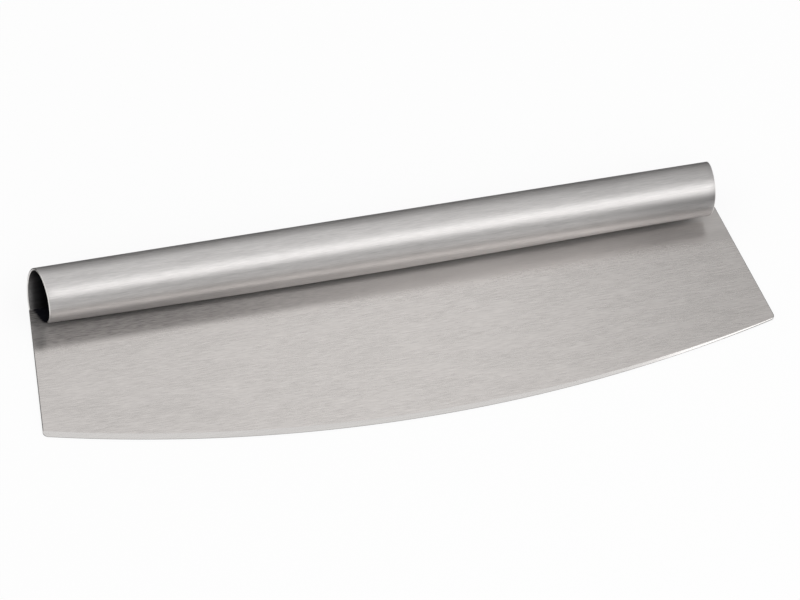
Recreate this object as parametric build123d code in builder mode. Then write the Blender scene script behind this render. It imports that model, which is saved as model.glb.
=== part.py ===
from build123d import *
import os
from math import cos, pi, radians, sin

# Rocking pizza knife: a long blade with a curved edge, whose top is rolled over into an open handle.
# It lies on its back. X runs along the handle, +Y from the cutting edge to the handle, and +Z is the
# blade's front. The origin is under the middle of the whole knife, on the surface it lies on.

# The sheet
sheet_thickness = 1.0

# The blade, measured from the bend line where the flat sheet starts to roll
edge_span = 350.0
handle_length = 328.0
side_height = 67.0
belly_depth = 22.0
tip_radius = 2.5
grind_width = 2.2
edge_land = 0.3

# The rolled handle. The wrap is an angle in degrees, from the roll's lowest point round its back.
roll_diameter = 25.0
wrap_start = -90.0
wrap_angle = 279.0
end_draw = 5.2

# The lip's free edge: how far out it hangs from the bend line, and the gap left above the blade
lip_out_left = 9.4
lip_out_middle = 11.2
lip_out_right = 7.9
lip_gap_left = 1.6
lip_gap_middle = 2.6
lip_gap_right = 3.0
lip_corner_radius = 1.5

# One overrun for every cut
overrun = 2.0

# Places that follow from the sizes above
roll_radius = roll_diameter / 2
bore_radius = roll_radius - sheet_thickness
knife_height = roll_radius + side_height + belly_depth
bend_y = knife_height / 2 - roll_radius
tip_y = bend_y - side_height
belly_y = tip_y - belly_depth
belly_radius = ((edge_span / 2) ** 2 + belly_depth**2) / (2 * belly_depth)
belly_centre_y = belly_y + belly_radius

# The lip is the last stretch of the roll. It curls in more at the two ends than in the middle.
wrap = radians(wrap_angle)
wrap_run = roll_radius * wrap
draw_per_run = end_draw / wrap_run
lip_root = (0, bend_y + roll_radius * sin(wrap), roll_radius - roll_radius * cos(wrap))
lip_down = (0, cos(wrap), sin(wrap))
lip_inward = (0, -sin(wrap), cos(wrap))
lip_plane = Plane(origin=lip_root, x_dir=(1, 0, 0), z_dir=lip_inward)
lip_reach = (lip_root[2] - sheet_thickness - lip_gap_left / 2) / -sin(wrap)
lip_draw = draw_per_run * lip_reach
lip_edges = (
    (-handle_length / 2, lip_out_left, lip_gap_left),
    (0, lip_out_middle, lip_gap_middle),
    (handle_length / 2, lip_out_right, lip_gap_right),
)

os.makedirs("parts", exist_ok=True)


# The blade: a flat plate with flared sides and a curved lower edge, ground thin from both faces
with BuildPart() as blade:
    with BuildSketch(Plane.XY) as blade_outline:
        with BuildLine() as blade_border:
            ThreePointArc((-edge_span / 2, tip_y), (0, belly_y), (edge_span / 2, tip_y))
            Polyline(
                (edge_span / 2, tip_y),
                (handle_length / 2, bend_y),
                (-handle_length / 2, bend_y),
                (-edge_span / 2, tip_y),
            )
        make_face()
        fillet(blade_outline.vertices().group_by(Axis.Y)[0], radius=tip_radius)
    extrude(amount=sheet_thickness)
    with BuildSketch(Plane.YZ) as grind_section:
        with BuildLine() as front_grind:
            Polyline(
                (belly_y + grind_width, sheet_thickness),
                (belly_y, (sheet_thickness + edge_land) / 2),
                (belly_y - overrun, (sheet_thickness + edge_land) / 2),
                (belly_y - overrun, sheet_thickness + overrun),
                (belly_y + grind_width, sheet_thickness + overrun),
                close=True,
            )
        make_face()
        mirror(about=Plane.XZ.offset(-sheet_thickness / 2))
    revolve(axis=Axis((0, belly_centre_y, 0), (0, 0, 1)), mode=Mode.SUBTRACT)
blade.part.label = "blade"
export_step(blade.part, "parts/blade.step")


# What is cut from the handle's left end: the end draws in steadily as the sheet goes round the roll
end_frame = Plane(
    origin=(-handle_length / 2, bend_y, roll_radius), x_dir=(0, 0, -1), z_dir=(1, 0, 0)
)
end_path = end_frame * Helix(
    end_draw * 2 * pi / wrap, end_draw, roll_radius - sheet_thickness / 2, mode=Mode.PRIVATE
)
with BuildPart() as end_cut:
    start_frame = Plane(
        origin=(-handle_length / 2, bend_y, sheet_thickness / 2), x_dir=(1, 0, 0), z_dir=(0, 1, 0)
    )
    with BuildSketch(start_frame) as end_section:
        Rectangle(
            end_draw + overrun, sheet_thickness + 2 * overrun, align=(Align.MAX, Align.CENTER)
        )
    sweep(path=end_path, is_frenet=True)
    with BuildSketch(lip_plane.offset(-overrun)) as lip_end_section:
        with BuildLine() as lip_end_border:
            Polyline(
                (-handle_length / 2 - overrun, 0),
                (-handle_length / 2 + end_draw, 0),
                (-handle_length / 2 + end_draw + lip_draw, lip_reach),
                (-handle_length / 2 - overrun, lip_reach),
                close=True,
            )
        make_face()
    extrude(amount=overrun + roll_radius)


# The rolled handle: the same sheet goes up, over and down in front, and stops short of the blade
with BuildPart() as rolled_handle:
    with BuildSketch(Plane.YZ.offset(-handle_length / 2)) as roll_section:
        with BuildLine(Location((bend_y, 0))) as roll_border:
            outside = CenterArc((0, roll_radius), roll_radius, wrap_start, wrap_angle)
            inside = CenterArc((0, roll_radius), bore_radius, wrap_start, wrap_angle)
            Line(outside @ 1, inside @ 1)
            Line(outside @ 0, inside @ 0)
        make_face()
    extrude(amount=handle_length)
    for edge_x, edge_out, edge_gap in lip_edges:
        with BuildSketch(Plane.YZ.offset(edge_x)) as lip_section:
            with BuildLine() as lip_border:
                TangentArc(
                    (lip_root[1], lip_root[2]),
                    (bend_y - edge_out, sheet_thickness + edge_gap),
                    tangent=(lip_down[1], lip_down[2]),
                )
                offset(amount=sheet_thickness, side=Side.LEFT, closed=True)
            make_face()
    loft()
    add(end_cut.part, mode=Mode.SUBTRACT)
    add(mirror(end_cut.part, about=Plane.YZ, mode=Mode.PRIVATE), mode=Mode.SUBTRACT)
    free_edge = rolled_handle.faces().filter_by(GeomType.BSPLINE).sort_by(Axis.Z)[0]
    fillet(free_edge.edges().sort_by(SortBy.LENGTH)[:2], radius=lip_corner_radius)
rolled_handle.part.label = "rolled_handle"
export_step(rolled_handle.part, "parts/rolled_handle.step")
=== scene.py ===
# %% [markdown]
# A rocking pizza knife is one sheet of stainless steel. The lower part is a flat blade with a curved
# cutting edge. The upper part is rolled over into a handle, open at both ends and along its front.
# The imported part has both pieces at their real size. This file gives them the finer shape and the
# finish that the eye sees, and leaves every dimension as it is.

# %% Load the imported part
import bmesh
import bpy
from math import atan2, cos, hypot, pi, radians, sin
from mathutils import Matrix, Vector


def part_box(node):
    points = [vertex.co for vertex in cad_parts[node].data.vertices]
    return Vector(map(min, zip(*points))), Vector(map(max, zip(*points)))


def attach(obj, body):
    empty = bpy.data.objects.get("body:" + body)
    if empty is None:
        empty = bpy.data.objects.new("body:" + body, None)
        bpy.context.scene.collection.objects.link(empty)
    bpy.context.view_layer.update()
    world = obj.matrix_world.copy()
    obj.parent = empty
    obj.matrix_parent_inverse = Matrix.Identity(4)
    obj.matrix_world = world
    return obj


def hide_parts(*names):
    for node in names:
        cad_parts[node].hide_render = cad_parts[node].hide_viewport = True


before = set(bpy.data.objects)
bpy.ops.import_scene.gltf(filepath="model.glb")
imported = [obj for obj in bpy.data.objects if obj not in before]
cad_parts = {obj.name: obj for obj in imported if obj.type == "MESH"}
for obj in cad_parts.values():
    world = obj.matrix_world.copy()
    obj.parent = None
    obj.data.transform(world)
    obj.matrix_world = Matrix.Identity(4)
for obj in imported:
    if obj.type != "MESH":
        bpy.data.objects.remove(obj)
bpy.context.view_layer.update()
print("packed nodes:", sorted(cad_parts))

# %% [markdown]
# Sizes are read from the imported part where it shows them: the sheet's thickness is the blade's height
# off the table, and the roll's diameter is the handle's. The rest are real sizes in millimetres, the
# same ones that the part was drawn from, because a mesh doesn't say what its roundings measure.

# %% Sizes of the sheet, the blade and the roll, in metres
MM = 0.001
blade_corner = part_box("blade")[1]
handle_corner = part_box("rolled_handle")[1]
sheet_thickness = round(blade_corner.z / MM, 2) * MM
bend_y = blade_corner.y
handle_half = round(handle_corner.x / MM, 1) * MM
roll_radius = round(handle_corner.z / MM, 1) * MM / 2

edge_half = 175.0 * MM
side_height = 67.0 * MM
belly_depth = 22.0 * MM
tip_radius = 2.5 * MM

wrap = radians(279.0)
end_draw = 5.2 * MM
lip_out = (9.4 * MM, 11.2 * MM, 7.9 * MM)
lip_gap = (1.6 * MM, 2.6 * MM, 3.0 * MM)
lip_corner_radius = 1.5 * MM

tip_y = bend_y - side_height
belly_y = tip_y - belly_depth
belly_radius = (edge_half**2 + belly_depth**2) / (2 * belly_depth)
belly_centre = Vector((0, belly_y + belly_radius, 0))
print("sheet", sheet_thickness, "roll radius", roll_radius, "belly radius", round(belly_radius, 3))

# %% [markdown]
# Handwork is never quite even. The edge is ground wider at the left end than further on, and the
# handle's free edge curls in more at the ends than in the middle. Such a size is given at three
# places, the left end, the middle and the right end, and a smooth curve runs through them. The very
# edge, the land, is left thicker where the grind runs out, over the last stretch before the right tip.

# %% Sizes that change along the knife
grind_widths = (2.7 * MM, 2.5 * MM, 0.5 * MM)
edge_land = 0.3 * MM
tip_land = 0.65 * MM
tip_land_from = 130.0 * MM
tip_land_run = 38.0 * MM


def between_stations(sizes, x):
    """A size at x, on a smooth curve through its values at the left, in the middle and at the right."""
    left, middle, right = sizes
    share = x / handle_half
    return middle + (right - left) / 2 * share + ((left + right) / 2 - middle) * share**2


def grind_at(x):
    """The width of the ground strip at x, no more than at the ends of the handle."""
    return between_stations(grind_widths, max(-handle_half, min(handle_half, x)))


def land_at(x):
    """How thick the very edge is left at x."""
    share = min(1, max(0, (x - tip_land_from) / tip_land_run))
    return edge_land + (tip_land - edge_land) * share


for x in (-edge_half, 0, edge_half):
    print("at", round(x / MM), "grind and land in mm:", round(grind_at(x) / MM, 2), land_at(x) / MM)

# %% [markdown]
# Both pieces start flat, as the real sheet does, and both have rounded corners. A corner of a flat
# sheet can be rounded with a bevel on its vertex, but a bevel can't pass the next row of vertices.
# Filing works on any mesh: a few straight cuts along tangents of the rounding take the corner off.

# %% Cut a flat mesh along a line, and file a corner round
cutting_tolerance = 1e-7


def cut_off(bm, point, outward):
    """Takes away what lies past a line through the point, on the side that outward points to."""
    bmesh.ops.bisect_plane(
        bm, geom=bm.verts[:] + bm.edges[:] + bm.faces[:], dist=cutting_tolerance,
        plane_co=point, plane_no=outward, clear_outer=True,
    )


def file_corner(bm, corner, outward_a, outward_b, radius, cuts):
    """Rounds a corner between two straight sides, given by the directions they face."""
    a = Vector(outward_a).normalized()
    b = Vector(outward_b).normalized()
    middle = (a + b).normalized()
    centre = Vector(corner) - middle * (radius / middle.dot(a))
    for i in range(1, cuts + 1):
        towards = a.lerp(b, i / (cuts + 1)).normalized()
        cut_off(bm, centre + towards * radius, towards)


# %% [markdown]
# The blade is stamped flat and then ground on both faces along its curved edge. Its outline could be
# typed in as points, or cut from a plate with a boolean, but neither leaves tidy rows along the edge.
# A spin turns one vertex about the centre of the curve, which gives the cutting edge as a clean arc.
# Extruding that arc once to the top of the grind and once past the bend line gives the rows, and
# three cuts trim the sheet to its outline.

# %% The blade's flat outline
belly_steps = 120
tip_cuts = 7
spare_angle = radians(1.5)
side_outward = Vector((side_height, edge_half - handle_half, 0)).normalized()
half_angle = atan2(edge_half, belly_radius - belly_depth) + spare_angle


def blade_outline(bm):
    """The flat blade at height 0, with a row of vertices at the top of the grind."""
    start = belly_centre + belly_radius * Vector((-sin(half_angle), -cos(half_angle), 0))
    first = bmesh.ops.create_vert(bm, co=start)["vert"]
    bmesh.ops.spin(
        bm, geom=first, cent=belly_centre, axis=(0, 0, 1), angle=2 * half_angle, steps=belly_steps
    )
    row = bm.edges[:]
    grown = bmesh.ops.extrude_edge_only(bm, edges=row)["geom"]
    row = [e for e in grown if isinstance(e, bmesh.types.BMEdge)]
    for v in {v for e in row for v in e.verts}:
        v.co = belly_centre + (v.co - belly_centre) * (1 - grind_at(v.co.x) / belly_radius)
    grown = bmesh.ops.extrude_edge_only(bm, edges=row)["geom"]
    for v in [v for v in grown if isinstance(v, bmesh.types.BMVert)]:
        v.co.y = bend_y + side_height
    bmesh.ops.recalc_face_normals(bm, faces=bm.faces)
    cut_off(bm, (0, bend_y, 0), (0, 1, 0))
    for side in (-1, 1):
        outward = Vector((side * side_outward.x, side_outward.y, 0))
        tip = Vector((side * edge_half, tip_y, 0))
        cut_off(bm, tip, outward)
        file_corner(bm, tip, outward, (tip - belly_centre).normalized(), tip_radius, tip_cuts)


blade_mesh = bmesh.new()
blade_outline(blade_mesh)
print("flat blade:", len(blade_mesh.verts), "vertices,", len(blade_mesh.faces), "faces")

# %% [markdown]
# The sheet gets its thickness by extruding the outline. A Solidify modifier would do that too, but the
# same everywhere, and the ground edge is thinner than the rest. So the height of each vertex follows
# from its distance to the edge: full at the top of the grind, falling evenly to the thin land at the
# very edge. That serves the filed corners too, just as the grinding wheel does.

# %% The blade, thick and ground
def sheet_half_height(place):
    """Half of the sheet's thickness at a place on the blade, thinner inside the ground strip."""
    from_edge = belly_radius - hypot(place.x, belly_centre.y - place.y)
    share = min(1, max(0, from_edge / grind_at(place.x)))
    land = land_at(place.x)
    return land / 2 + (sheet_thickness - land) / 2 * share


lower = blade_mesh.verts[:]
grown = bmesh.ops.extrude_face_region(blade_mesh, geom=blade_mesh.faces[:])["geom"]
upper = [v for v in grown if isinstance(v, bmesh.types.BMVert)]
for v in lower:
    v.co.z = sheet_thickness / 2 - sheet_half_height(v.co)
for v in upper:
    v.co.z = sheet_thickness / 2 + sheet_half_height(v.co)
bmesh.ops.recalc_face_normals(blade_mesh, faces=blade_mesh.faces)
print("thick blade:", round(blade_mesh.calc_volume() / MM**3), "mm3")

# %% [markdown]
# A sheet's cut edges are never razor sharp, and the thin bright line that a rounded rim catches is
# what makes a mesh look like metal. A Bevel modifier could round them. The operator is used instead,
# because it hands back the new faces, which get a finish of their own. Where it runs out on a row of
# vertices it leaves faces with no area, and these are dissolved. The bend line stays sharp and flat,
# because there the sheet goes on into the other piece.

# %% Round the cut edges
rim_segments = 3
cut_edge_angle = radians(50)
bend_tolerance = 0.05 * MM
hair = 1e-6


def on_bend_line(edge):
    return all(abs(v.co.y - bend_y) < bend_tolerance for v in edge.verts)


def soften_rims(bm, width, wanted):
    """Rounds the sheet's cut edges, where two faces meet at a wide angle. Returns the new faces."""
    rims = [
        e for e in bm.edges
        if len(e.link_faces) == 2 and e.calc_face_angle() > cut_edge_angle and wanted(e)
    ]
    made = bmesh.ops.bevel(
        bm, geom=rims, offset=width, affect="EDGES", segments=rim_segments, profile=0.5, material=-1,
        offset_type="OFFSET", clamp_overlap=False,
    )
    bmesh.ops.dissolve_degenerate(bm, dist=hair, edges=bm.edges)
    kept = {f for f in made["faces"] if f.is_valid}
    print("cut edges rounded:", len(rims), "faces made:", len(kept))
    return kept


# %% [markdown]
# Smooth shading hides the steps of a curve. On a whole sheet it would also smear the light round the
# corners, so every edge where faces meet at a wide angle is kept sharp, except on the rounded rims.
# Marking the edges one by one is exact, where one angle for the whole object would be a compromise.

# %% Turn a mesh into an object
def finished(bm, name, flat_angle, rounded):
    """Makes the mesh object, smooth on the rounded rims and wherever faces meet at a small angle."""
    for f in bm.faces:
        f.smooth = True
    for e in bm.edges:
        on_rim = any(f in rounded for f in e.link_faces)
        e.smooth = on_rim or e.calc_face_angle() < flat_angle
    open_edges = sum(1 for e in bm.edges if len(e.link_faces) != 2)
    volume = round(bm.calc_volume() / MM**3)
    print(name, len(bm.faces), "faces,", open_edges, "open edges,", volume, "mm3")
    mesh = bpy.data.meshes.new(name)
    bm.to_mesh(mesh)
    bm.free()
    piece = bpy.data.objects.new(name, mesh)
    bpy.context.scene.collection.objects.link(piece)
    return piece


# %% [markdown]
# The blade's rims are rounded except along the ground edge. Each face then gets its finish: slot 0 is
# the brushed sheet, and the cut sides and the ground strip have their own. A face counts as a side
# when it looks mostly sideways. The weighted normals let the large faces stay flat up to the rounded
# rims. Without them a tilted normal at one corner would run down a long face and bend everything that
# it mirrors.

# %% The blade's rims and finishes
blade_burr = 0.3 * MM
blade_flat_angle = radians(6)
cut, ground = 1, 2
side_face = 0.5


def away_from_cutting_edge(edge):
    return not on_bend_line(edge) and all(
        sheet_half_height(v.co) > sheet_thickness / 2 - hair for v in edge.verts
    )


rounded = soften_rims(blade_mesh, blade_burr, away_from_cutting_edge)
for f in blade_mesh.faces:
    middle = f.calc_center_median()
    if f in rounded or abs(f.normal.z) < side_face:
        f.material_index = cut
    elif hypot(middle.x, belly_centre.y - middle.y) > belly_radius - grind_at(middle.x):
        f.material_index = ground
blade = finished(blade_mesh, "knife_blade", blade_flat_angle, rounded)
even_shading = blade.modifiers.new("even_shading", "WEIGHTED_NORMAL")
even_shading.keep_sharp = True

# %% [markdown]
# The handle is the top of the same sheet, rolled over. Its blank is a flat strip: rows run along the
# handle, and the strip gets a little shorter with each row, so that the ends lean in when it is
# rolled. The last rows are the lip, whose length changes along the handle. The lip follows an arc of
# its own, which leaves the roll along its tangent and ends at the free edge.

# %% The lip's own curve at any place along the handle
root = Vector((sin(wrap), 1 - cos(wrap))) * roll_radius
root_down = Vector((cos(wrap), sin(wrap)))
root_inward = Vector((-sin(wrap), cos(wrap)))
wrap_run = roll_radius * wrap
draw_per_run = end_draw / wrap_run
least_curl = 1e-3


def lip_curve(x):
    """How sharply the lip curls at x, and how long it is from the roll to its free edge."""
    free_edge = Vector((-between_stations(lip_out, x), sheet_thickness + between_stations(lip_gap, x)))
    chord = free_edge - root
    curl = 2 * chord.dot(root_inward) / chord.length_squared
    turn = 2 * atan2(chord.dot(root_inward), chord.dot(root_down))
    length = turn / curl if abs(curl) > least_curl else chord.length
    return curl, length


for x in (-handle_half, 0, handle_half):
    print("lip at", round(x / MM), "curl per metre and length:", [round(v, 4) for v in lip_curve(x)])

# %% [markdown]
# The handle could be a profile swept along a line, but then its ends couldn't lean in, and its lip
# couldn't change on the way. A blank that is rolled up afterwards does both, as the real one does.
# It starts as a grid, whose vertices are set out in rows along the sheet. The corners of the lip are
# filed round while the strip is still flat, the easy moment on the real sheet too.

# %% The handle's flat blank
along_steps = 96
wrap_steps = 140
lip_steps = 12
lip_corner_cuts = 5
row_count = wrap_steps + lip_steps

handle_mesh = bmesh.new()
bmesh.ops.create_grid(handle_mesh, x_segments=along_steps, y_segments=row_count, size=0.5)
for v in handle_mesh.verts:
    row = round((v.co.y + 0.5) * row_count)
    share = 2 * v.co.x
    run = wrap_run * min(row, wrap_steps) / wrap_steps
    lip_length = lip_curve(share * (handle_half - draw_per_run * run))[1]
    run += lip_length * max(0, row - wrap_steps) / lip_steps
    v.co = Vector((share * (handle_half - draw_per_run * run), run, 0))
for side in (-1, 1):
    lip_end = wrap_run + lip_curve(side * (handle_half - end_draw))[1]
    corner = Vector((side * (handle_half - draw_per_run * lip_end), lip_end, 0))
    end_outward = Vector((side, draw_per_run, 0)).normalized()
    file_corner(handle_mesh, corner, end_outward, (0, 1, 0), lip_corner_radius, lip_corner_cuts)
print("blank:", round(max(v.co.y for v in handle_mesh.verts) / MM, 1), "mm wide, measured outside")

# %% [markdown]
# Rolling up moves each vertex of the blank to its place on the roll. A Simple Deform modifier bends a
# sheet too, but to one radius all over, and the lip needs its own. Solidify gives the wall its
# thickness inward, so the outside keeps its size, and the first row is set back onto the bend line.

# %% Roll the blank up and give it its wall
def rolled_up(place):
    """Where a place on the flat blank comes to lie: x along the handle, y the run round the roll."""
    x, run = place.x, place.y
    if run <= wrap_run:
        across = Vector((sin(run / roll_radius), 1 - cos(run / roll_radius))) * roll_radius
    else:
        curl = lip_curve(x)[0]
        past = run - wrap_run
        if abs(curl) > least_curl:
            across = root + (root_down * sin(curl * past) + root_inward * (1 - cos(curl * past))) / curl
        else:
            across = root + root_down * past
    return Vector((x, bend_y + across.x, across.y))


for v in handle_mesh.verts:
    v.co = rolled_up(v.co)
bmesh.ops.recalc_face_normals(handle_mesh, faces=handle_mesh.faces)
first_face = min(handle_mesh.faces, key=lambda f: f.calc_center_median().z)
if first_face.normal.z > 0:
    bmesh.ops.reverse_faces(handle_mesh, faces=handle_mesh.faces)
bmesh.ops.solidify(handle_mesh, geom=handle_mesh.faces[:], thickness=sheet_thickness)
for v in handle_mesh.verts:
    if abs(v.co.y - bend_y) < bend_tolerance and v.co.z < 2 * sheet_thickness:
        v.co.y = bend_y
bmesh.ops.recalc_face_normals(handle_mesh, faces=handle_mesh.faces)
print("rolled handle:", round(handle_mesh.calc_volume() / MM**3), "mm3")

# %% [markdown]
# The real roll is satin outside, plain inside and bright on its cut rims. Picking those faces by hand
# would be lost with every change to the mesh, so a face's finish follows from the way it looks: away
# from the roll's axis is the outside, in slot 0, towards the axis is the inside, and neither is a rim.

# %% The handle's rims and finishes
handle_burr = 0.4 * MM
handle_flat_angle = radians(25)
inside = 2
rim_face = 0.4

rounded = soften_rims(handle_mesh, handle_burr, lambda e: not on_bend_line(e))
for f in handle_mesh.faces:
    middle = f.calc_center_median()
    away_from_axis = Vector((0, middle.y - bend_y, middle.z - roll_radius)).normalized()
    outward = f.normal.dot(away_from_axis)
    if f in rounded or abs(outward) < rim_face:
        f.material_index = cut
    elif outward < 0:
        f.material_index = inside
handle = finished(handle_mesh, "knife_rolled_handle", handle_flat_angle, rounded)
for piece in (blade, handle):
    xs, ys, zs = zip(*(v.co for v in piece.data.vertices))
    print(piece.name, [round(f(c) / MM, 2) for c in (xs, ys, zs) for f in (min, max)])

# %% [markdown]
# Each new piece rides on the imported part's one body and stands for the node of its shape.

# %% Tie the pieces to the imported part
for piece, node, finish in ((blade, "blade", "blade_steel"), (handle, "rolled_handle", "handle_steel")):
    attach(piece, "root")
    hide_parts(node)
    print(piece.name, "stands for", node)

# %% [markdown]
# Shader maths reads better as Python than as a list of nodes. A Wire holds one output socket, and
# adding or multiplying wires adds the Math nodes. Its make method adds any other kind of node.

# %% A wire between shader nodes
class Wire:
    """An output socket in a material's node tree, with arithmetic."""

    def __init__(self, tree, socket=None):
        self.tree = tree
        self.socket = socket

    def make(self, kind, settings=None, sockets=None, output=0):
        """Adds a node: its settings first, then the values or wires of its sockets."""
        node = self.tree.nodes.new(kind)
        for name, value in (settings or {}).items():
            if name == "stops":
                ramp = node.color_ramp
                while len(ramp.elements) < len(value):
                    ramp.elements.new(1)
                for element, (position, shade) in zip(ramp.elements, value):
                    element.position = position
                    element.color = (shade, shade, shade, 1)
            else:
                setattr(node, name, value)
        for name, value in (sockets or {}).items():
            if isinstance(value, Wire):
                self.tree.links.new(value.socket, node.inputs[name])
            else:
                node.inputs[name].default_value = value
        return Wire(self.tree, node.outputs[output]) if len(node.outputs) else None

    def calculate(self, operation, first, second):
        return self.make("ShaderNodeMath", {"operation": operation}, {0: first, 1: second})

    def __add__(self, other):
        return self.calculate("ADD", self, other)

    def __radd__(self, other):
        return self.calculate("ADD", other, self)

    def __sub__(self, other):
        return self.calculate("SUBTRACT", self, other)

    def __rsub__(self, other):
        return self.calculate("SUBTRACT", other, self)

    def __mul__(self, other):
        return self.calculate("MULTIPLY", self, other)

    def __rmul__(self, other):
        return self.calculate("MULTIPLY", other, self)

    def __abs__(self):
        return self.make("ShaderNodeMath", {"operation": "ABSOLUTE"}, {0: self})


# %% [markdown]
# Every material starts empty, and every pattern starts from the place on the object that is shaded.
# That place could come from an unwrapped map, but a mesh this plain doesn't need one. Here it is in
# the object's own metres, so a scratch can be given its real size.

# %% Start a material and find a place on it
def empty_material(name):
    """A new material with no nodes, and a wire to start from."""
    material = bpy.data.materials.new(name)
    material.use_nodes = True
    material.node_tree.nodes.clear()
    return material, Wire(material.node_tree)


def object_coordinates(wire):
    """The place on the object that is shaded, in its own metres."""
    return wire.make("ShaderNodeTexCoord", output=3)


def axis(place, number):
    """One coordinate of a place: 0 for x, 1 for y and 2 for z."""
    return place.make("ShaderNodeSeparateXYZ", {}, {0: place}, output=number)


def eased(value, places, levels):
    """Goes smoothly from the first level to the second while the value goes between the places."""
    return value.make(
        "ShaderNodeMapRange",
        {"interpolation_type": "SMOOTHSTEP"},
        {0: value, 1: places[0], 2: places[1], 3: levels[0], 4: levels[1]},
    )


def mixed_colour(share, first, second):
    """A colour between two others, which are three numbers each, or wires."""
    first, second = (c if isinstance(c, Wire) else (*c, 1) for c in (first, second))
    return share.make(
        "ShaderNodeMix", {"data_type": "RGBA"}, {0: share, 6: first, 7: second}, output=2
    )


# %% [markdown]
# Brushed steel is full of fine scratches that all run the same way, here along the knife. A picture
# of scratches would repeat and need a file. A noise that is stretched along X does neither, and gives
# such lines because its cells are long in X and thin in Y and Z. Three sizes are laid over each other:
# broad bands, streaks that are narrower, and fine lines. They tint the steel and change its gloss,
# and the fine ones tilt its surface a little. Some places get a function that tells where the steel is
# rougher and how metallic it is, and where shade is painted into its colour.

# %% Brushed steel
# Each kind of scratch: how many times the steel's own length and width, and how much detail.
scratch_sizes = {"bands": (8, 20, 2.0), "streaks": (2, 1.5, 3.0), "lines": (1, 0.5, 2.0)}
band_tint, streak_tint, line_tint = 0.5, 1.0, 1.4
band_gloss, streak_gloss = 0.08, 0.10
streak_grain, line_grain = 1.2, 2.5
# The near-black tone that painted shade mixes the colour towards.
painted_shade_tone = (0.008, 0.008, 0.014)


def stretched_noise(place, along, across, detail):
    """Noise about 0 whose cells are so many metres long in X and so many wide in Y and Z."""
    scaled = place.make(
        "ShaderNodeMapping", {}, {"Vector": place, "Scale": (1 / along, 1 / across, 1 / across)}
    )
    noise = place.make("ShaderNodeTexNoise", {}, {"Vector": scaled, "Scale": 1.0, "Detail": detail})
    return noise - 0.5


def steel(name, tint, contrast, gloss, along, across, brush_depth, dullness_and_shade=None):
    """Stainless steel with lines along X. Gloss is the mean roughness, and tint the mean colour.

    The last argument, if given, is a function of the place and the grain of the scratches. It tells
    how much rougher the steel is there, how much painted shade darkens its colour, and how metallic it
    is.
    """
    material, wire = empty_material(name)
    place = object_coordinates(wire)
    bands, streaks, lines = (
        stretched_noise(place, along * longer, across * wider, detail)
        for longer, wider, detail in scratch_sizes.values()
    )
    shade = bands * band_tint + streaks * streak_tint + lines * line_tint + 0.5
    darker = [channel * (1 - contrast) for channel in tint]
    lighter = [channel * (1 + contrast) for channel in tint]
    colour = mixed_colour(shade, darker, lighter)
    roughness = streaks * streak_gloss + bands * band_gloss + gloss
    metallic = 1.0
    if dullness_and_shade:
        grain = streaks * streak_grain + lines * line_grain + 1.0
        rougher, painted_shade_share, metallic = dullness_and_shade(place, grain)
        # Painted shade: the colour is mixed towards a near-black tone by the share that the function
        # gives.
        colour = mixed_colour(painted_shade_share, colour, painted_shade_tone)
        roughness = roughness + rougher
    bump = wire.make("ShaderNodeBump", {}, {"Height": lines, "Strength": 1.0, "Distance": brush_depth})
    surface = wire.make(
        "ShaderNodeBsdfPrincipled",
        {},
        {"Base Color": colour, "Metallic": metallic, "Roughness": roughness, "Normal": bump},
    )
    wire.make("ShaderNodeOutputMaterial", {}, {"Surface": surface})
    return material


# %% [markdown]
# The roll is in the brush's way, so a strip of the blade next to the bend is rougher and a little less
# metallic than the rest. Its colour gets painted shade there, most of all at the left, standing for the
# roll's shade and dark reflection on it. Inside the roll the painted shade is darker still, up to where
# light gets in at the open left end, along a slanting line. An eased ramp goes from one level to
# another with no visible step. Its places are millimetres to the right of the knife's middle or below
# the bend line, because those are easy to measure on the real knife.

# %% The dull strip of the blade and its painted shade
opening_slant = 0.4


def on_the_knife(place):
    """How far right of the knife's middle a place is, and how far below the bend, in millimetres."""
    return axis(place, 0) * (1 / MM), (bend_y - axis(place, 1)) * (1 / MM)


def under_the_roll(place, grain):
    """The blade next to the bend: rougher, less metallic, and darkened with painted shade for the
    roll's shade and reflection.
    """
    x, below = on_the_knife(place)
    strip = eased(below, places=(19.5, 24), levels=(1.0, 0.0))
    strip_painted_shade = eased(x, places=(-120, 100), levels=(0.43, 0.12))
    painted_shade_in_roll = eased(below, places=(7, 9.5), levels=(0.66, 0.0))
    past_left_opening = eased(x - below * opening_slant, places=(-163.5, -161), levels=(0.2, 1.0))
    near_left_end = eased(x, places=(-150, -120), levels=(1.0, 0.25))
    short_of_right_end = eased(x, places=(120, 150), levels=(1.0, 0.0))
    painted_shade_at_left = eased(x, places=(-175, 0), levels=(0.07, 0.0))
    # Painted shade: the roll's shade and dark reflection on the strip, and the dark hollow inside the
    # roll.
    painted_shade_share = strip * strip_painted_shade * grain + painted_shade_at_left
    painted_shade_share = painted_shade_share + painted_shade_in_roll * past_left_opening * near_left_end * short_of_right_end
    next_to_bend = eased(below, places=(14, 22), levels=(0.14, 0.0))
    rougher = next_to_bend * eased(x, places=(60, 150), levels=(1.0, 0.3))
    metallic = eased(below, places=(13, 18), levels=(0.72, 1.0))
    return rougher, painted_shade_share, metallic


# %% [markdown]
# Two finishes of the handle get painted shade too. The roll's inside is painted dark behind each
# opening, since little light reaches it, evenly and with no grain. The satin in front gets painted
# shade near the right end, mottled by the grain.

# %% Painted shade inside the roll and on its front near the right end
def deep_inside(place, grain):
    """Painted shade on the inside of the roll, dark from a few millimetres behind each opening."""
    from_middle = abs(on_the_knife(place)[0])
    behind_rim = eased(from_middle, places=(156, 163), levels=(0.94, 0.62))
    near_an_end = eased(from_middle, places=(110, 150), levels=(0.0, 1.0))
    return 0.0, behind_rim * near_an_end, 1.0


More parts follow.
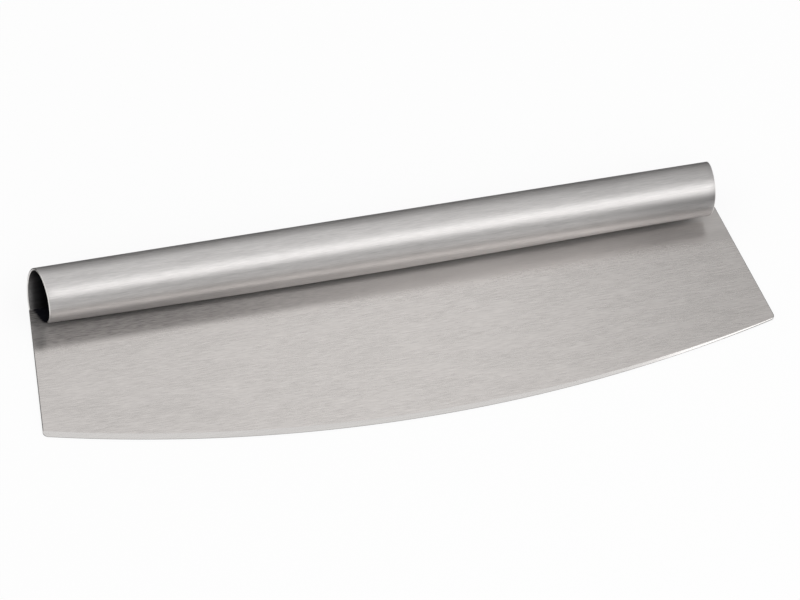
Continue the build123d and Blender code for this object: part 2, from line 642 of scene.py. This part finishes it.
def painted_shade_front(place, grain):
    """Painted shade on the outside of the roll, a little darker in front near its right end."""
    x, below = on_the_knife(place)
    in_front = eased(below, places=(7, 10.5), levels=(0.0, 1.0))
    near_right_end = eased(x, places=(95, 150), levels=(0.0, 0.3))
    return 0.0, in_front * near_right_end * grain, 1.0


# %% [markdown]
# Six finishes cover the knife: the brushed blade, its sheared sides and its ground edge, and the
# roll's satin outside, its bright rim and its plain inside. They differ in tint, in gloss and in how
# coarse the scratches are. The sheared sides' near-black tint is painted shade, the shaded table
# beside the knife that they mirror, on steel that a cut leaves a little duller. The inside's tint,
# darker than the outside's, is partly painted shade too. Each piece's slots take them in the order
# that its faces were given.

# %% The six finishes
blade_steel = steel(
    "blade_brushed_steel", tint=(0.675, 0.643, 0.622), contrast=0.18, gloss=0.28,
    along=4 * MM, across=0.35 * MM, brush_depth=3e-6, dullness_and_shade=under_the_roll,
)
# Its near-black tint is painted shade: the shaded table beside the knife, mirrored in the sides and
# rims.
sheared_and_shaded_steel = steel(
    "sheared_edge_painted_shade_steel", tint=(0.20, 0.193, 0.187), contrast=0.20, gloss=0.45,
    along=3 * MM, across=0.4 * MM, brush_depth=4e-6,
)
ground_steel = steel(
    "ground_edge_steel", tint=(0.70, 0.68, 0.665), contrast=0.08, gloss=0.26,
    along=30 * MM, across=0.3 * MM, brush_depth=1e-6,
)
handle_steel = steel(
    "handle_satin_steel", tint=(0.61, 0.593, 0.585), contrast=0.16, gloss=0.42,
    along=5 * MM, across=0.4 * MM, brush_depth=4e-6, dullness_and_shade=painted_shade_front,
)
rim_steel = steel(
    "handle_rim_steel", tint=(0.80, 0.78, 0.76), contrast=0.10, gloss=0.30,
    along=3 * MM, across=0.4 * MM, brush_depth=2e-6,
)
# Its tint, darker than the outside's, is partly painted shade of the hollow roll.
inner_steel = steel(
    "handle_inner_steel", tint=(0.48, 0.47, 0.46), contrast=0.18, gloss=0.36,
    along=6 * MM, across=0.5 * MM, brush_depth=4e-6, dullness_and_shade=deep_inside,
)
finishes_of = (
    (blade, (blade_steel, sheared_and_shaded_steel, ground_steel)),
    (handle, (handle_steel, rim_steel, inner_steel)),
)
for piece, finishes in finishes_of:
    for finish in finishes:
        piece.data.materials.append(finish)
    print(piece.name, "wears", [finish.name for finish in finishes])

# %% [markdown]
# Steel shows its surroundings more than its own colour, so the studio is part of the finish. A picture
# of a studio could be wrapped round the scene, but plain parts are easier to tell apart in the metal
# and to move. First comes a pale sky all round, which the blade mirrors nearly everywhere.

# %% Sky
sky_strength = 0.87

scene = bpy.context.scene
scene.view_settings.view_transform = "Standard"
world = bpy.data.worlds.new("pale_sky")
scene.world = world
world.use_nodes = True
sky = world.node_tree.nodes["Background"]
sky.inputs["Color"].default_value = (1, 1, 1, 1)
sky.inputs["Strength"].default_value = sky_strength
print(world.name, "of strength", sky_strength)

# %% [markdown]
# One large soft box overhead draws the bright band along the handle. It is turned a good way round,
# because the band keeps to one height all along the roll only if the box lies slanting over it.

# %% Soft box
def aimed(place, target):
    """The turn that points a lamp's or a card's -Z from its place to the target."""
    direction = (Vector(target) - Vector(place)).normalized()
    return direction.to_track_quat("-Z", "Y").to_euler()


def soft_box(name, place, target, width, height, radiance, turn):
    """A rectangular lamp. Its watts come from how bright its face looks."""
    lamp = bpy.data.lights.new(name, "AREA")
    lamp.shape = "RECTANGLE"
    lamp.size = width
    lamp.size_y = height
    lamp.energy = radiance * pi * width * height
    box = bpy.data.objects.new(name, lamp)
    box.location = place
    box.rotation_euler = aimed(place, target)
    box.rotation_euler.z += turn
    box.visible_camera = False
    scene.collection.objects.link(box)
    print(name, round(lamp.energy, 2), "W")


soft_box(
    "overhead_box", place=(0.26, -0.52, 0.85), target=(0.26, 0, 0), width=1.0, height=0.40,
    radiance=1.35, turn=radians(50),
)

# %% [markdown]
# Grey cards, low behind and in front, draw the darker edges of the roll. Two cards at the right
# shade that end of the knife, each fading from left to right, and two dark cloths lie on the table
# beside and behind it. Lamps can't do this, because they only add light, while a card hides a part of
# the sky. The cards show in reflections only, and cast no shadow.

# %% Cards and cloths
def reflection_card(name, place, target, width, height, shade, shade_right=None):
    """A card that only shows in reflections. Its brightness may change from left to right."""
    bm = bmesh.new()
    bmesh.ops.create_grid(bm, x_segments=1, y_segments=1, size=0.5)
    mesh = bpy.data.meshes.new(name)
    bm.to_mesh(mesh)
    bm.free()
    card = bpy.data.objects.new(name, mesh)
    card.scale = (width, height, 1)
    card.location = place
    card.rotation_euler = aimed(place, target)
    material, wire = empty_material(name)
    across = axis(object_coordinates(wire), 0) + 0.5
    stops = ((0, shade), (1, shade if shade_right is None else shade_right))
    brightness = wire.make("ShaderNodeValToRGB", {"stops": stops}, {0: across})
    glow = wire.make("ShaderNodeEmission", {}, {"Color": brightness, "Strength": 1.0})
    wire.make("ShaderNodeOutputMaterial", {}, {"Surface": glow})
    mesh.materials.append(material)
    for ray in ("camera", "diffuse", "transmission", "volume_scatter", "shadow"):
        setattr(card, "visible_" + ray, False)
    scene.collection.objects.link(card)
    print(name, width, "by", height, "m")


# Each has its name, place, target, width and height, and its brightness, or that at left and right.
cards = (
    ("card_behind", (0.2, 0.75, 0.20), (0, 0.05, 0.05), 2.6, 0.4, 0.36),
    ("card_in_front", (0.2, -1.0, 0.3), (0, 0, 0.05), 3.0, 0.6, 0.5),
    ("card_at_right", (0.27, 0.20, 0.24), (0.27, 0.20, 0), 0.32, 0.34, 0.87, 0.24),
    ("card_near_right", (0.30, -0.20, 0.08), (0.30, 0.20, 0.08), 0.24, 0.16, 0.42, 0.0),
    ("cloth_at_right", (0.62, 0.0, 0.0002), (0.62, 0.0, -1.0), 0.80, 1.0, 0.15),
    ("cloth_behind", (0.0, 0.255, 0.0002), (0.0, 0.255, -1.0), 1.2, 0.4, 0.10),
)
for card in cards:
    reflection_card(*card)

# %% [markdown]
# The floor is plain white paper. Lit by the studio it would look light grey, and stronger lamps would
# change every reflection. So for rays from the camera, and for those that come by way of metal, most
# of its look is a plain glow. The rest stays ordinary paper, so that the shadow under the knife still
# shows. It lies a hair below the knife.

# %% Floor
floor_half = 6.0
floor_drop = 0.05 * MM
paper_white = (0.9, 0.9, 0.9, 1)
glow_share = 0.88

floor_mesh = bmesh.new()
bmesh.ops.create_grid(floor_mesh, x_segments=1, y_segments=1, size=floor_half)
floor_data = bpy.data.meshes.new("floor")
floor_mesh.to_mesh(floor_data)
floor_mesh.free()
floor = bpy.data.objects.new("floor", floor_data)
floor.location.z = -floor_drop
scene.collection.objects.link(floor)

paper, wire = empty_material("white_paper")
rays = wire.make("ShaderNodeLightPath").socket.node.outputs
directly, mirrored, through = (
    Wire(wire.tree, rays[kind]) for kind in ("Is Camera Ray", "Is Glossy Ray", "Is Transmission Ray")
)
matt = wire.make("ShaderNodeBsdfDiffuse", {}, {"Color": paper_white})
glow = wire.make("ShaderNodeEmission", {}, {"Color": (1, 1, 1, 1), "Strength": 1.0})
seen_glow = (directly + mirrored + through) * glow_share
mixed = wire.make("ShaderNodeMixShader", {}, {0: seen_glow, 1: matt, 2: glow})
wire.make("ShaderNodeOutputMaterial", {}, {"Surface": mixed})
floor_data.materials.append(paper)
print("floor", 2 * floor_half, "m square,", floor_drop / MM, "mm below the knife")

# %% [markdown]
# The photograph was taken from far away with a long lens: the two long edges of the knife stay almost
# parallel in it. The camera stands in front of the cutting edge, to the left and high up, and it is
# tilted sideways, so that the knife lies flatter in the picture than it would for a level camera.
# Placing it by eye would be off by many pixels, so its angles were worked out from the knife's outline.

# %% Camera
camera_round = radians(-27.84)
camera_height = radians(55.72)
camera_tilt = radians(14.48)
camera_distance = 5.486
camera_target = Vector((5.9 * MM, 12.9 * MM, 0))
farthest_seen = 50.0

camera_data = bpy.data.cameras.new("camera")
camera_data.sensor_width = 36.0
camera_data.lens = 540.0
camera_data.clip_end = farthest_seen
camera = bpy.data.objects.new("camera", camera_data)
backward = Vector(
    (
        sin(camera_round) * cos(camera_height),
        -cos(camera_round) * cos(camera_height),
        sin(camera_height),
    )
)
turn = (
    Matrix.Rotation(camera_round, 4, "Z")
    @ Matrix.Rotation(pi / 2 - camera_height, 4, "X")
    @ Matrix.Rotation(camera_tilt, 4, "Z")
)
camera.matrix_world = Matrix.Translation(camera_target + backward * camera_distance) @ turn
scene.collection.objects.link(camera)
scene.camera = camera
print("camera", camera_distance, "m away, lens", camera_data.lens, "mm")
